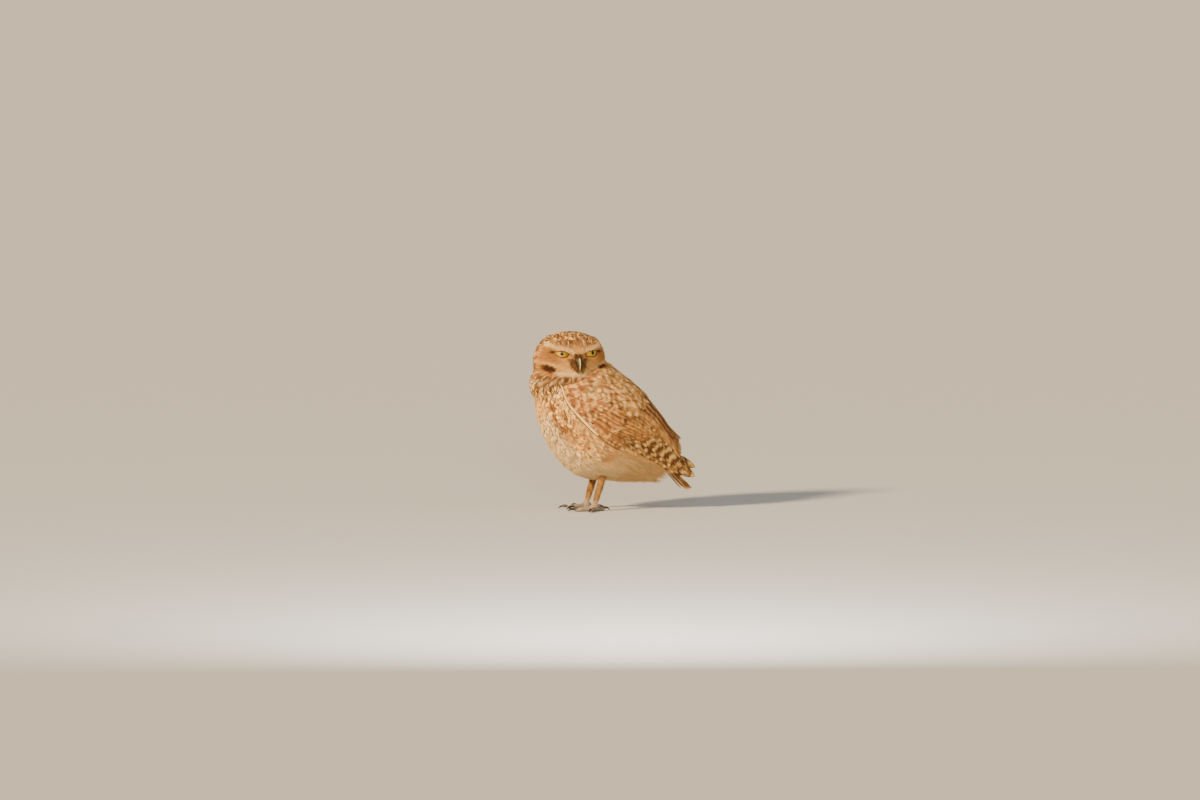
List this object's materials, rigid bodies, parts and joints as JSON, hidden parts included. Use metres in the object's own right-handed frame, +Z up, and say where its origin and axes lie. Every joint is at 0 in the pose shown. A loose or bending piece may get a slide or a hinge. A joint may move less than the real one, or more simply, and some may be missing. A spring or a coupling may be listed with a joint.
{
  "type": "burrowing owl figure",
  "caption": "Small long-legged owl standing upright with wings folded and its round head turned to the side; life-size still figure.",
  "frame": {"origin": "on the floor, under the middle of the bird's box", "axes": "+Z up; the trunk and the feet head towards -X, the tail is towards +X, and the turned face looks along -Y"},
  "size_m": [0.1714, 0.0936, 0.1799],
  "materials": {
    "head_feathers": "soft, matt feathers",
    "body_feathers": "soft, matt feathers",
    "wing_feathers": "matt feathers with a faint sheen",
    "tail_feathers": "matt feathers with a faint sheen",
    "leg_feathers": "short, matt feathers",
    "toe_skin": "dry, scaly skin",
    "bill": "smooth horn",
    "claw": "smooth horn",
    "iris": "wet and glossy"
  },
  "bodies": {
    "root": {"bill_lower": "bill", "bill_upper": "bill", "claw_hallux_left": "claw", "claw_hallux_right": "claw", "claw_inner_left": "claw", "claw_inner_right": "claw", "claw_middle_left": "claw", "claw_middle_right": "claw", "claw_outer_left": "claw", "claw_outer_right": "claw", "eye_left": "iris", "eye_right": "iris", "foot_left": "toe_skin", "foot_right": "toe_skin", "head": "head_feathers", "neck": "head_feathers", "tail": "tail_feathers", "tarsus_left": "leg_feathers", "tarsus_right": "leg_feathers", "thigh_left": "body_feathers", "thigh_right": "body_feathers", "toe_hallux_left": "toe_skin", "toe_hallux_right": "toe_skin", "toe_inner_left": "toe_skin", "toe_inner_right": "toe_skin", "toe_middle_left": "toe_skin", "toe_middle_right": "toe_skin", "toe_outer_left": "toe_skin", "toe_outer_right": "toe_skin", "trunk": "body_feathers", "wing_left": "wing_feathers", "wing_right": "wing_feathers"}
  },
  "joints": []
}
